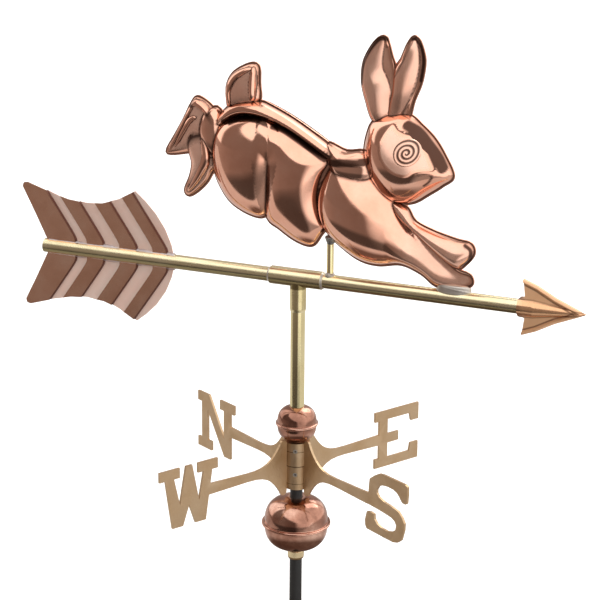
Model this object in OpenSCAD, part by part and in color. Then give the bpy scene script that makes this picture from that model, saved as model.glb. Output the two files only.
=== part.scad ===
// Running-rabbit weather vane: a copper rabbit on a brass arrow that turns on a
// steel rod, above two copper globes and two crossed brass compass bars.
// Frame: +Z up the rod, origin at the rod's lower end, arrow along +X at rest.

/* [Mounting rod] */
// Diameter of the steel rod
rod_d = 11.1; // [9:0.1:12]
// Length of rod below the depth groove, which goes into a socket
rod_insert = 60; // [40:1:120]
// Bare rod between the depth groove and the set collar
rod_show = 61.5; // [20:0.5:200]

/* [Globes and collar] */
// Height of the set collar under the large globe
collar_h = 10.3; // [8:0.1:14]
// Diameter of the large globe without its seam flange
large_globe_d = 56.6; // [46:0.2:64]
// Height of the large globe
large_globe_h = 49; // [40:0.5:56]
// Diameter of the small globe without its seam flange
small_globe_d = 34.8; // [28:0.2:40]
// Height of the small globe
small_globe_h = 32; // [28:0.5:38]
// Sheet thickness of the globes
globe_wall = 0.8; // [0.6:0.1:1.2]

/* [Compass bars] */
// Bare rod between the large globe and the hub
hub_gap = 10.4; // [7:0.1:14]
// Height of the two stacked hub eyes
hub_h = 43.5; // [40:0.1:52]
// Thickness of the flat castings
bar_t = 2.2; // [2:0.1:5]
// Distance from the rod to the letters' inner edges
letter_r = 90; // [84:1:110]
// Height of a letter
letter_h = 54; // [46:1:60]
// Angle from the arrow at rest round to the E arm, seen from above
compass_turn = 61; // [-180:1:180]

/* [Arrow] */
// Height of the arrow's axis above the small globe
spindle_h = 117.3; // [100:0.5:140]
// Outer diameter of the arrow tube and the spindle tube
tube_d = 12.7; // [12.5:0.1:13]
// Wall of the arrow tube
tube_wall = 0.9; // [0.7:0.1:1.2]
// Tail end of the arrow tube, behind the rod
tail_x = 247; // [220:1:260]
// Base of the arrowhead's socket, ahead of the rod
head_x = 198; // [180:1:220]
// Length of the arrowhead
head_l = 58; // [50:1:70]
// Half height of the fletching at its tips
fletch_h = 60; // [50:1:66]

/* [Rabbit] */
// Scale of the rabbit against its full size
rabbit_scale = 1; // [0.95:0.01:1.02]
// Depth of each half shell against its full depth
rabbit_depth = 1; // [0.8:0.05:1.2]
// Sheet thickness of the rabbit shells
rabbit_wall = 1; // [0.8:0.1:1.2]

/* [Hidden] */
$fn = 64;
gap = 0.05;
rod_r = rod_d / 2;
rod_bore_r = rod_r + gap;
groove_h = 1.5;
groove_depth = 0.5;
// The stack up the rod, from the origin
collar_z = rod_insert + rod_show;
large_z = collar_z + collar_h + large_globe_h / 2;
hub_z = large_z + large_globe_h / 2 + hub_gap;
hub_mid_z = hub_z + hub_h / 2;
small_z = hub_z + hub_h + small_globe_h / 2;
spindle_z = small_z + small_globe_h / 2;
arrow_z = spindle_z + spindle_h;
tube_r = tube_d / 2;
// The spindle tube is thin, so that it turns on the rod with a close running fit
spindle_bore_r = rod_r + 0.075;
spindle_top = -13;
sleeve_r = tube_r + 1.6;
sleeve_back = -25;
sleeve_front = 22.5;
stub_r = tube_r + 0.75;
stub_end = -27.5;
tube_stop = 2;
tube_in_head = 12;
ball_r = 4.5;
seat_z = -24;
ball_z = seat_z - 0.15 - ball_r;
rod_top = arrow_z + ball_z - 2.4;
eye_r = 11.6;
// The arms lie a little below the middle of the hub
arm_drop = 1.05;
// How full the globes are: 1 is a plain ellipse, and less is rounder at the shoulders
fullness = 0.75;
// The spindle tube reaches a little past the crown of the small globe, and clears it
spindle_dip = 0.15;
// The set screws stand in the corner between the S and W arms
screw_turn = 225;
screw_r = 2;
blade_in = eye_r + 0.2;
blade_out = 18.9;
blade_tip = hub_h / 2 + arm_drop + 3.2;
flare_end = 55;
arm_half = 3.8;
arm_end_half = 4.8;
plate_t = 1.2;
panel_t = 3;
post_x = 29.5;
post_r = 3;
paw_x = 141;

// ---- Curves and pillows ----

function spline_at(a, b, c, d, t) =
    0.5 * (2 * b + (c - a) * t + (2 * a - 5 * b + 4 * c - d) * t * t
    + (3 * b - a - 3 * c + d) * t * t * t);

// A closed smooth curve through the points, n steps from each point to the next
function smooth_loop(p, n) = let (m = len(p))
    [for (i = [0:m - 1]) for (k = [0:n - 1])
        spline_at(p[(i + m - 1) % m], p[i], p[(i + 1) % m], p[(i + 2) % m], k / n)];

function clamp01(t) = min(1, max(0, t));

function flat(p) = [p[0], p[1]];

// The spine point nearest to p, as [x, z, depth]
function on_segment(p, a, b) = let (
    d = flat(b) - flat(a),
    t = clamp01(((p - flat(a)) * d) / (d * d)))
    a + (b - a) * t;

function nearer(p, a, b) = norm(p - flat(a)) < norm(p - flat(b)) ? a : b;

function on_spine(p, s, i = 0) = i >= len(s) - 2 ? on_segment(p, s[i], s[i + 1])
    : nearer(p, on_segment(p, s[i], s[i + 1]), on_spine(p, s, i + 1));

// How a ring of a pillow stands out at step t from the outline to the spine
function swell(t) = sqrt(1 - (1 - t) * (1 - t));

function pull(p, s, t, inset) = let (d = max(1, norm(p - flat(s))))
    p + (flat(s) - p) * (t * (1 - inset / d) + min(0.9, inset / d));

function pillow_ring(o, s, t, inset) = [for (p = o) let (q = on_spine(p, s), r = pull(p, q, t, inset))
    [r[0], -(0.9 - inset * 0.6 + (q[2] * rabbit_depth - inset) * swell(t)), r[1]]];

function base_ring(o, s, y, inset) = [for (p = o) let (q = on_spine(p, s), r = pull(p, q, 0, inset))
    [r[0], y, r[1]]];

function middle(r, i = 0) = i == len(r) ? [0, 0, 0] : r[i] / len(r) + middle(r, i + 1);

// One lobe of the rabbit: a closed solid that swells from an outline to a spine
module pillow(outline, spine, inset = 0, steps = 2) {
    o = smooth_loop(outline, steps);
    n = len(o);
    rings = concat([base_ring(o, spine, inset > 0 ? 5 : 3, inset)],
        [for (t = [0, 0.08, 0.28, 0.6, 0.88]) pillow_ring(o, spine, t, inset)]);
    m = len(rings);
    top = middle(rings[m - 1]);
    points = concat([for (r = rings) each r], [top]);
    sides = [for (k = [0:m - 2]) for (i = [0:n - 1]) let (j = (i + 1) % n)
        each [[k * n + i, k * n + j, (k + 1) * n + j], [k * n + i, (k + 1) * n + j, (k + 1) * n + i]]];
    cap = [for (i = [0:n - 1]) [(m - 1) * n + i, (m - 1) * n + (i + 1) % n, m * n]];
    base = [[for (i = [0:n - 1]) n - 1 - i]];
    polyhedron(points = points, faces = concat(base, sides, cap));
}

// Keeps a many-sided blend as a single mesh
module one_mesh() {
    resize([0, 0, 0]) children();
}

// ---- The rabbit's lobes: outline [x, z] and spine [x, z, depth] ----
// x is ahead of the rod and z above the arrow's axis. All outlines run clockwise.

TORSO = [[-76, 120], [-66, 144], [-50, 151], [-35, 152], [-25, 149], [-7, 141], [11, 131], [32, 118],
    [50, 100], [50, 70], [20, 50], [-20, 52], [-58, 76]];
TORSO_SPINE = [[-45, 122, 14], [-5, 108, 14], [30, 90, 12]];
HAUNCH = [[-81, 110], [-76, 127], [-64, 137], [-48, 142], [-28, 139], [-14, 126], [-13, 106],
    [-17, 84], [-25, 61], [-33, 51], [-48, 53], [-64, 62], [-75, 78], [-80, 94]];
HAUNCH_SPINE = [[-50, 108, 20], [-42, 90, 20]];
FLANK = [[-34, 138], [-8, 133], [13, 121], [32, 109], [25, 92], [22, 72], [26, 50], [22, 41], [13, 31],
    [-1, 33], [-17, 42], [-30, 53], [-34, 90]];
FLANK_SPINE = [[-12, 108, 18], [2, 85, 17], [6, 58, 14]];
NECK = [[26, 121], [44, 117], [60, 118], [70, 104], [62, 90], [34, 92]];
NECK_SPINE = [[38, 105, 12], [58, 103, 12]];
CHEST = [[32, 106], [56, 106], [76, 96], [90, 78], [104, 62], [122, 42], [143, 26], [155, 22], [157, 14],
    [146, 9], [126, 9], [112, 18], [94, 24], [74, 21], [58, 23], [43, 31], [27, 44], [19, 60], [18, 78],
    [23, 94]];
CHEST_SPINE = [[46, 82, 18], [62, 60, 17], [96, 40, 10], [144, 16, 5.5]];
FORELEG = [[88, 76], [98, 74], [106, 63], [123, 56], [143, 51], [155, 49], [158, 41], [151, 31],
    [143, 27], [124, 39], [106, 53], [92, 64]];
FORELEG_SPINE = [[98, 64, 9], [124, 47, 9], [147, 40, 7.5]];
HEAD = [[58, 118], [60, 132], [66, 146], [80, 152], [98, 153], [116, 140], [128, 123], [136, 107],
    [134, 102], [127, 96], [117, 86], [101, 77], [84, 77], [70, 86], [61, 101]];
HEAD_SPINE = [[88, 114, 19], [104, 112, 19]];
CHEEK = [[83, 134], [96, 144], [110, 138], [118, 124], [122, 108], [112, 98], [98, 96], [86, 104],
    [80, 118]];
CHEEK_SPINE = [[98, 120, 21], [104, 116, 21]];
EAR_BACK = [[66, 146], [59, 160], [56, 177], [59, 193], [66, 208], [73, 216], [77, 212], [80, 202],
    [84, 190], [87, 170], [86, 148], [78, 140]];
EAR_BACK_SPINE = [[74, 148, 7], [72, 178, 8], [72, 204, 4]];
EAR_FRONT = [[80, 146], [83, 170], [86, 192], [93, 210], [100, 218], [107, 210], [110, 197],
    [108, 182], [101, 164], [98, 148], [90, 140]];
EAR_FRONT_SPINE = [[90, 148, 7], [96, 178, 8], [101, 206, 4]];
TAIL = [[-66, 143], [-69, 155], [-67, 166], [-59, 177], [-46, 183], [-38, 180], [-37, 168], [-39, 152],
    [-50, 144]];
TAIL_SPINE = [[-54, 150, 10], [-49, 170, 8]];
FOOT_UPPER = [[-74, 108], [-88, 108], [-103, 101], [-121, 98], [-124, 101], [-113, 120], [-104, 138],
    [-97, 150], [-84, 142], [-70, 136]];
FOOT_UPPER_SPINE = [[-76, 124, 9], [-96, 128, 7], [-113, 107, 3]];
FOOT_LOWER = [[-72, 96], [-80, 81], [-91, 68], [-103, 62], [-107, 68], [-100, 84], [-101, 100],
    [-92, 116], [-74, 112]];
FOOT_LOWER_SPINE = [[-80, 104, 9], [-90, 92, 8], [-100, 70, 4]];
LOBES = [[TORSO, TORSO_SPINE], [HAUNCH, HAUNCH_SPINE], [FLANK, FLANK_SPINE], [NECK, NECK_SPINE],
    [CHEST, CHEST_SPINE], [FORELEG, FORELEG_SPINE], [HEAD, HEAD_SPINE], [CHEEK, CHEEK_SPINE],
    [EAR_BACK, EAR_BACK_SPINE], [EAR_FRONT, EAR_FRONT_SPINE], [TAIL, TAIL_SPINE],
    [FOOT_UPPER, FOOT_UPPER_SPINE], [FOOT_LOWER, FOOT_LOWER_SPINE]];

// ---- Places ----

module at_arrow() {
    translate([0, 0, arrow_z]) children();
}

// Turns a solid that runs up Z so that it runs along X
module along_x() {
    rotate([0, 90, 0]) children();
}

// ---- The fixed mast ----

module mounting_rod() {
    color("dimgray") difference() {
        cylinder(r = rod_r, h = rod_top);
        translate([0, 0, rod_insert]) difference() {
            cylinder(r = rod_r + 1, h = groove_h);
            translate([0, 0, -1]) cylinder(r = rod_r - groove_depth, h = groove_h + 2);
        }
        translate([0, 0, arrow_z + ball_z + 0.1]) sphere(r = ball_r + 0.1);
    }
}

module set_collar() {
    color("goldenrod") translate([0, 0, collar_z]) difference() {
        rotate_extrude() polygon([[rod_bore_r, 0], [6.3, 0], [7, 0.8], [7.4, 2.4], [7.4, 7.6], [7, 8.3],
            [6.7, 8.6], [6.7, collar_h], [rod_bore_r, collar_h]]);
        rotate([0, 0, compass_turn + screw_turn + 180]) translate([0, 0, 5]) along_x()
            cylinder(r = 1.5, h = 12);
    }
}

module collar_set_screw() {
    color("dimgray") translate([0, 0, collar_z + 5]) rotate([0, 0, compass_turn + screw_turn + 180])
        grub_screw(1.45, 7.2 - rod_r - gap);
}

// A headless screw that points at the rod, with a socket in its outer end
module grub_screw(r, l) {
    translate([rod_r + gap, 0, 0]) along_x() difference() {
        cylinder(r = r, h = l);
        translate([0, 0, l - 0.9]) cylinder(r = r * 0.55, h = 2, $fn = 6);
    }
}

// Half of a globe as a spun sheet: a dome with a bored pole and a seam flange
module half_globe(d, h, flange, bore) {
    a = d / 2;
    c = h / 2;
    w = globe_wall;
    f = fullness;
    tilt = acos(pow(bore / a, 1 / f));
    inner_tilt = acos(pow(bore / (a - w), 1 / f));
    steps = 14;
    outer = [for (i = [0:steps]) [a * pow(cos(tilt * i / steps), f), c * pow(sin(tilt * i / steps), f)]];
    inner = [for (i = [steps:-1:0]) [(a - w) * pow(cos(inner_tilt * i / steps), f),
        (c - w) * pow(sin(inner_tilt * i / steps), f)]];
    brim = [[a - w, 0], [a + flange - 0.4, 0], [a + flange, 0.5], [a + flange - 0.5, w], [a - 0.02, w]];
    rotate_extrude() union() {
        polygon(concat(outer, inner));
        polygon(brim);
    }
}

module large_globe_lower() {
    color("chocolate") translate([0, 0, large_z]) mirror([0, 0, 1])
        half_globe(large_globe_d, large_globe_h, 2.4, rod_r + 0.3);
}

module large_globe_upper() {
    color("chocolate") translate([0, 0, large_z])
        half_globe(large_globe_d, large_globe_h, 2.4, rod_r + 0.3);
}

module small_globe_lower() {
    color("chocolate") translate([0, 0, small_z]) mirror([0, 0, 1])
        half_globe(small_globe_d, small_globe_h, 1.3, rod_r + 0.3);
}

module small_globe_upper() {
    color("chocolate") translate([0, 0, small_z])
        half_globe(small_globe_d, small_globe_h, 1.3, rod_r + 0.3);
}

// The flare of one arm, from the tall blade beside the rod out to the letter
function flare(r) = arm_half
    + (r < flare_end ? (blade_tip - 3.4 - arm_half) * pow((flare_end - r) / (flare_end - blade_out), 3.3)
    : (arm_end_half - arm_half) * (r - flare_end) / (letter_r - flare_end));
ARM_R = [blade_out, 21, 24, 28, 33, 39, 46, 55, letter_r + 8];

module arm_outline() {
    tip = blade_tip;
    tip_r = (blade_out + blade_in) / 2;
    cap_r = (blade_out - blade_in) / 2;
    cap = [for (a = [0:30:180]) [tip_r - cap_r * cos(a), tip - cap_r + cap_r * sin(a)]];
    upper = concat([[blade_in, tip - 6.4]], cap, [for (r = ARM_R) [r, flare(r)]]);
    lower = [for (i = [len(upper) - 1:-1:0]) [upper[i][0], -upper[i][1]]];
    polygon(concat(upper, lower));
}

// Letters stand in their own width, from the edge nearest to the rod (0) outwards
LETTER_E = [[0, 27], [52, 27], [52, 11], [43, 11], [41.5, 18.5], [15, 18.5], [15, 4.4], [28, 4.4],
    [28, -4.4], [15, -4.4], [15, -18.5], [41.5, -18.5], [43, -11], [52, -11], [52, -27], [0, -27],
    [0, -18], [5, -18], [5, 18], [0, 18]];
LETTER_S = [[11, 19], [17.5, 24], [23, 27.2], [29, 28], [56.5, 28], [59.4, 26.8], [59.6, 20],
    [58.8, 11.5], [57.2, 10.4], [53.3, 10.6], [51.3, 12.4], [49.3, 14.9], [46, 17.4], [41.5, 18.8],
    [34, 19], [27.5, 18], [23, 15.6], [20.5, 12], [20.4, 8.8], [23.2, 5.9], [30, 3.8], [39.5, 2.8],
    [48.5, 1], [53.3, -2.8], [56.4, -7.4], [56.2, -13], [53, -23.5], [48.3, -27.2], [43, -28.6],
    [33, -28.6], [8, -27.8], [6.2, -25], [5.8, -20], [8, -12], [12.5, -11], [17.4, -11.6], [18, -16],
    [21.4, -19.2], [27.3, -21], [35, -21.4], [41.5, -19.6], [45.3, -16.5], [46.2, -12.4],
    [44.4, -9.2], [39.8, -7.2], [32, -6.2], [22, -5.4], [9.7, -4.8], [-2, -4.8], [-2, 4.8],
    [9.7, 5.4], [10, 12]];
LETTER_N = [[-57, 27], [-39.5, 27], [-17, -9], [-17, 18], [-23, 18], [-23, 27], [-1, 27], [-1, 18],
    [-7, 18], [-7, -27], [-16.5, -27], [-42, 12], [-42, -18], [-36, -18], [-36, -27], [-57, -27],
    [-57, -18], [-51, -18], [-51, 18], [-57, 18]];
LETTER_W = [[-58, 27], [-37, 27], [-37, 18], [-43, 18], [-37, -7], [-30.5, 27], [-24, 27], [-17, -7],
    [-12, 18], [-18, 18], [-18, 27], [3, 27], [3, 18], [-3, 18], [-10, -27], [-21, -27], [-27.5, -9],
    [-34, -27], [-45, -27], [-52, 18], [-58, 18]];

module letter(points, side) {
    translate([side * letter_r, 0]) scale([1, letter_h / 54]) polygon(points);
}

// One flat casting along X with a letter at each end. Its eye is half the hub's
// height, and the other half is open for the other bar's eye.
module compass_bar(minus_letter, plus_letter, eye_low) {
    difference() {
        union() {
            rotate([90, 0, 0]) linear_extrude(bar_t, center = true) union() {
                translate([0, -arm_drop]) union() {
                    arm_outline();
                    mirror([1, 0]) arm_outline();
                    letter(minus_letter, -1);
                    letter(plus_letter, 1);
                }
                translate([-blade_in - 1, eye_low + 0.1]) square([2 * blade_in + 2, hub_h / 2 - 0.2]);
            }
            translate([0, 0, eye_low + 0.1]) cylinder(r = eye_r, h = hub_h / 2 - 0.2);
        }
        translate([0, 0, -hub_h]) cylinder(r = rod_bore_r, h = 2 * hub_h);
    }
}

module compass_bar_ew() {
    color("burlywood") translate([0, 0, hub_mid_z]) difference() {
        rotate([0, 0, compass_turn]) compass_bar(LETTER_W, LETTER_E, -hub_h / 2);
        hub_screw_hole(-7.4);
    }
}

module compass_bar_ns() {
    color("burlywood") translate([0, 0, hub_mid_z]) difference() {
        rotate([0, 0, compass_turn - 90]) compass_bar(LETTER_N, LETTER_S, 0);
        hub_screw_hole(14.6);
    }
}

module hub_screw_hole(z) {
    rotate([0, 0, compass_turn + screw_turn]) translate([0, 0, z]) along_x()
        cylinder(r = screw_r + gap, h = 15);
}

module ew_set_screw() {
    color("dimgray") translate([0, 0, hub_mid_z - 7.4]) rotate([0, 0, compass_turn + screw_turn])
        grub_screw(screw_r, eye_r - rod_r - 0.4);
}

module ns_set_screw() {
    color("dimgray") translate([0, 0, hub_mid_z + 14.6]) rotate([0, 0, compass_turn + screw_turn])
        grub_screw(screw_r, eye_r - rod_r - 0.4);
}

module bearing_ball() {
    color("silver") translate([0, 0, arrow_z + ball_z]) sphere(r = ball_r);
}

// ---- The turning vane ----

module spindle_tube() {
    color("gold") translate([0, 0, spindle_z - spindle_dip]) difference() {
        cylinder(r = tube_r, h = spindle_h + spindle_dip + spindle_top);
        translate([0, 0, -1]) cylinder(r = spindle_bore_r, h = spindle_h + 2);
    }
}

// A plug in the top of the spindle tube that rests on the ball
module pivot_seat() {
    color("silver") at_arrow() translate([0, 0, seat_z])
        cylinder(r = spindle_bore_r - 0.02, h = spindle_top - seat_z);
}

module tee_fitting() {
    color("gold") at_arrow() difference() {
        union() {
            translate([sleeve_back, 0, 0]) along_x() cylinder(r = sleeve_r, h = sleeve_front - sleeve_back);
            translate([0, 0, stub_end]) cylinder(r = stub_r, h = -stub_end);
            translate([0, 0, stub_end - 2.5]) cylinder(r1 = tube_r + 0.3, r2 = stub_r, h = 2.5);
        }
        translate([sleeve_back - 1, 0, 0]) along_x() cylinder(r = tube_r + gap, h = 60);
        translate([0, 0, stub_end - 5]) cylinder(r = tube_r + gap, h = -stub_end + 5);
    }
}

// A ring of solder where the arrow tube goes into an end of the sleeve
module solder_ring() {
    difference() {
        cylinder(r1 = sleeve_r - 0.7, r2 = tube_r + 0.4, h = 1.8);
        translate([0, 0, -1]) cylinder(r = tube_r, h = 5);
    }
}

module tee_solder_rear() {
    color("lightgray") at_arrow() translate([sleeve_back, 0, 0]) mirror([1, 0, 0]) along_x() solder_ring();
}

module tee_solder_front() {
    color("lightgray") at_arrow() translate([sleeve_front, 0, 0]) along_x() solder_ring();
}

module arrow_tube_tail() {
    color("gold") at_arrow() difference() {
        translate([-tail_x, 0, 0]) along_x() cylinder(r = tube_r, h = tail_x - tube_stop);
        translate([-tail_x - 1, 0, 0]) along_x() cylinder(r = tube_r - tube_wall, h = tail_x + 2);
        translate([-245.2, -plate_t / 2 - gap, -10]) cube([128.2, plate_t + 2 * gap, 20]);
    }
}

module arrow_tube_head() {
    color("gold") at_arrow() difference() {
        translate([tube_stop, 0, 0]) along_x() cylinder(r = tube_r, h = head_x + tube_in_head - tube_stop);
        along_x() cylinder(r = tube_r - tube_wall, h = head_x + 30);
    }
}

// The feather's edge above the tube, from the rear corner round to the front
FEATHER = [[-241, 0], [-244, 6], [-256, 30], [-268, 53], [-267, 56.5], [-263, 57.2], [-238, 49.5],
    [-222, 45.5], [-205, 44], [-188, 45.5], [-172, 51], [-156, 60], [-146, 52], [-136, 42], [-127, 29],
    [-121, 15], [-118, 0]];

module feather_outline() {
    half = [for (p = FEATHER) [p[0], p[1] * fletch_h / 60]];
    polygon(concat(half, [for (i = [len(half) - 2:-1:1]) [half[i][0], -half[i][1]]]));
}

// One raised panel: its two long edges lean back by the same slope, tube to tip
module panel(front, back) {
    lean = 0.68;
    polygon([[back, 8.4], [back - lean * 60, 8.4 + 60], [front - lean * 60, 8.4 + 60], [front, 8.4]]);
}

PANELS = [[-215.5, -262], [-187.5, -204.8], [-154.7, -172], [-125, -139.3]];

module fletching_plate() {
    color("sienna") at_arrow() rotate([90, 0, 0]) union() {
        linear_extrude(plate_t, center = true) feather_outline();
        linear_extrude(panel_t, center = true) intersection() {
            offset(delta = -0.4) feather_outline();
            union() {
                for (p = PANELS) {
                    panel(p[0], p[1]);
                    mirror([0, 1]) panel(p[0], p[1]);
                }
            }
        }
    }
}

// Solder along one edge where the plate enters the tube
module solder_fillet() {
    difference() {
        translate([-243, -2.4, 0]) cube([126.5, 4.8, 8]);
        translate([-tail_x - 10, 0, 0]) along_x() cylinder(r = tube_r, h = 300);
        translate([-260, -plate_t / 2, -1]) cube([142, plate_t, 20]);
        for (s = [-1, 1]) {
            translate([-250, s * 3.6, 9.4]) rotate([-s * 52, 0, 0]) translate([0, -3, -3])
                cube([200, 6, 3.6]);
        }
    }
}

module fletching_solder_top() {
    color("lightgray") at_arrow() solder_fillet();
}

module fletching_solder_bottom() {
    color("lightgray") at_arrow() mirror([0, 0, 1]) solder_fillet();
}

// The arrowhead's edge: socket, upper barb and point
ARROWHEAD = [[0, 7.7], [7, 9], [3, 24.5], [16, 19.5], [32, 10.8], [58, 0]];

module arrowhead_outline() {
    polygon(concat(ARROWHEAD, [for (i = [4:-1:0]) [ARROWHEAD[i][0], -ARROWHEAD[i][1]]]));
}

// Half of the arrowhead on the -Y side: a flat barbed plate and half a hollow cone
module arrowhead_half() {
    k = head_l / 58;
    at_arrow() translate([head_x, 0, 0]) scale([k, k, k]) difference() {
        union() {
            rotate([90, 0, 0]) linear_extrude(1.3) arrowhead_outline();
            rotate([90, 0, 0]) linear_extrude(2) difference() {
                arrowhead_outline();
                offset(delta = -2.6) arrowhead_outline();
                translate([-20, -12]) square([27, 24]);
            }
            intersection() {
                union() {
                    along_x() cylinder(r1 = 7.7, r2 = 7.5, h = 13);
                    translate([13, 0, 0]) along_x() cylinder(r1 = 7.5, r2 = 1.3, h = 39);
                }
                translate([-10, -20, -30]) cube([80, 20, 60]);
            }
        }
        translate([-1, 0, 0]) along_x() cylinder(r = (tube_r + gap) / k, h = tube_in_head / k + 1.1);
        translate([12, 0, 0]) along_x() cylinder(r1 = 6.2, r2 = 0.6, h = 34);
    }
}

module arrowhead_right_shell() {
    color("sandybrown") arrowhead_half();
}

module arrowhead_left_shell() {
    color("sandybrown") mirror([0, 1, 0]) arrowhead_half();
}

module support_post() {
    color("gold") at_arrow() difference() {
        translate([post_x, 0, 0]) cylinder(r = post_r, h = 38);
        along_x() cylinder(r = tube_r, h = 60);
    }
}

module post_lower_solder() {
    color("lightgray") at_arrow() difference() {
        translate([post_x, 0, 4.5]) cylinder(r1 = 5, r2 = post_r + 0.3, h = 5);
        along_x() cylinder(r = tube_r, h = 60);
        translate([post_x, 0, 0]) cylinder(r = post_r, h = 38);
    }
}

module post_upper_solder() {
    color("gray") at_arrow() difference() {
        translate([post_x, 0, 33]) cylinder(r1 = post_r + 0.4, r2 = 5.4, h = 8);
        translate([post_x, 0, 0]) cylinder(r = post_r, h = 38);
    }
}

// The puddle of solder that holds the front paw to the tube
module paw_solder() {
    color("lightgray") at_arrow() difference() {
        intersection() {
            translate([paw_x, 0, 3]) cylinder(r1 = 15, r2 = 12, h = 9);
            translate([paw_x - 20, -5.4, 0]) cube([40, 10.8, 20]);
        }
        along_x() cylinder(r = tube_r, h = 200);
    }
}

// One half of the rabbit on the -Y side, beaten out of sheet and open at the seam
module rabbit_half() {
    k = rabbit_scale;
    at_arrow() translate([0, 0, 9 * (1 - k)]) scale([k, k, k]) one_mesh() difference() {
        union() {
            for (l = LOBES) pillow(l[0], l[1]);
            translate([0, 2, 0]) rotate([90, 0, 0]) linear_extrude(2.7) offset(delta = 1.3) union() {
                for (l = LOBES) polygon(smooth_loop(l[0], 2));
            }
        }
        for (l = LOBES) pillow(l[0], l[1], rabbit_wall);
        translate([-200, 0, -50]) cube([400, 20, 400]);
    }
}

module rabbit_right_shell() {
    color("peru") rabbit_half();
}

module rabbit_left_shell() {
    color("peru") mirror([0, 1, 0]) rabbit_half();
}

mounting_rod();
set_collar();
collar_set_screw();
large_globe_lower();
large_globe_upper();
compass_bar_ew();
compass_bar_ns();
ew_set_screw();
ns_set_screw();
small_globe_lower();
small_globe_upper();
bearing_ball();
spindle_tube();
pivot_seat();
tee_fitting();
tee_solder_rear();
tee_solder_front();
arrow_tube_tail();
arrow_tube_head();
fletching_plate();
fletching_solder_top();
fletching_solder_bottom();
arrowhead_left_shell();
arrowhead_right_shell();
support_post();
post_lower_solder();
post_upper_solder();
paw_solder();
rabbit_left_shell();
rabbit_right_shell();
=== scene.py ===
import math
import bpy
import bmesh
import numpy as np
from mathutils import Vector, Matrix, geometry


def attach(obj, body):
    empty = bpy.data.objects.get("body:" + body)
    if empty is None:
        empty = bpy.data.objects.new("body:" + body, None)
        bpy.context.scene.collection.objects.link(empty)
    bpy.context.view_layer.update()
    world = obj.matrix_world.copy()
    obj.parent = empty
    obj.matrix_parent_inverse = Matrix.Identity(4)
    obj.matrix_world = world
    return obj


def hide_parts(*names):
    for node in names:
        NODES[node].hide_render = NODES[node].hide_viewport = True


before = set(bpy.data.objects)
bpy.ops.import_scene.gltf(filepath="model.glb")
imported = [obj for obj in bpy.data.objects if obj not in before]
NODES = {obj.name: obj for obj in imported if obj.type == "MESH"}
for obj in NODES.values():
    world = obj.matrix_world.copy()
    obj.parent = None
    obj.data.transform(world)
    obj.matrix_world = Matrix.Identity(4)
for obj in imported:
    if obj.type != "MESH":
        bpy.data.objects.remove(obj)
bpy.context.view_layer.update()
MM = 0.001
# The height given to places that a lobe doesn't reach
OUTSIDE = -99.0
scene = bpy.context.scene

# Heights and sizes in millimetres, as the CAD has them
ARROW_Z = 384.0
HEAD_X = 198.0
HUB_MID = 212.95
TUBE_R = 6.35
ROD_R = 5.55
# Just outside the hub
HUB_R = 11.7


# ------------------------------------------------------------------ materials

class Nodes:
    """A short way to write a node tree."""

    def __init__(self, owner):
        owner.use_nodes = True
        self.tree = owner.node_tree
        self.tree.nodes.clear()

    def new(self, kind):
        return self.tree.nodes.new("ShaderNode" + kind)

    def link(self, a, b):
        self.tree.links.new(a, b)

    def put(self, socket, value):
        if isinstance(value, bpy.types.NodeSocket):
            self.link(value, socket)
        else:
            socket.default_value = value

    def ramp(self, fac, stops):
        r = self.new("ValToRGB")
        self.link(fac, r.inputs["Fac"])
        e = r.color_ramp.elements
        while len(e) < len(stops):
            e.new(0.5)
        for el, (pos, col) in zip(e, stops):
            el.position = pos
            el.color = (*col, 1) if isinstance(col, tuple) else (col, col, col, 1)
        return r.outputs["Color"]

    def span(self, fac, a, b, lo, hi):
        n = self.new("MapRange")
        self.link(fac, n.inputs["Value"])
        for k, v in zip(("From Min", "From Max", "To Min", "To Max"), (a, b, lo, hi)):
            n.inputs[k].default_value = v
        return n.outputs["Result"]

    def math(self, op, *values):
        n = self.new("Math")
        n.operation = op
        for socket, value in zip(n.inputs, values):
            self.put(socket, value)
        return n.outputs[0]

    def parts(self, vector):
        """The X, Y and Z outputs of a vector."""
        n = self.new("SeparateXYZ")
        self.link(vector, n.inputs["Vector"])
        return n.outputs

    def mix(self, fac, a, b, blend="MIX"):
        n = self.new("Mix")
        n.data_type = "RGBA"
        n.blend_type = blend
        self.put(n.inputs["Factor"], fac)
        self.put(n.inputs[6], (*a, 1) if isinstance(a, tuple) else a)
        self.put(n.inputs[7], (*b, 1) if isinstance(b, tuple) else b)
        return n.outputs[2]

    def seen_by_camera(self):
        return self.new("LightPath").outputs["Is Camera Ray"]


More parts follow.
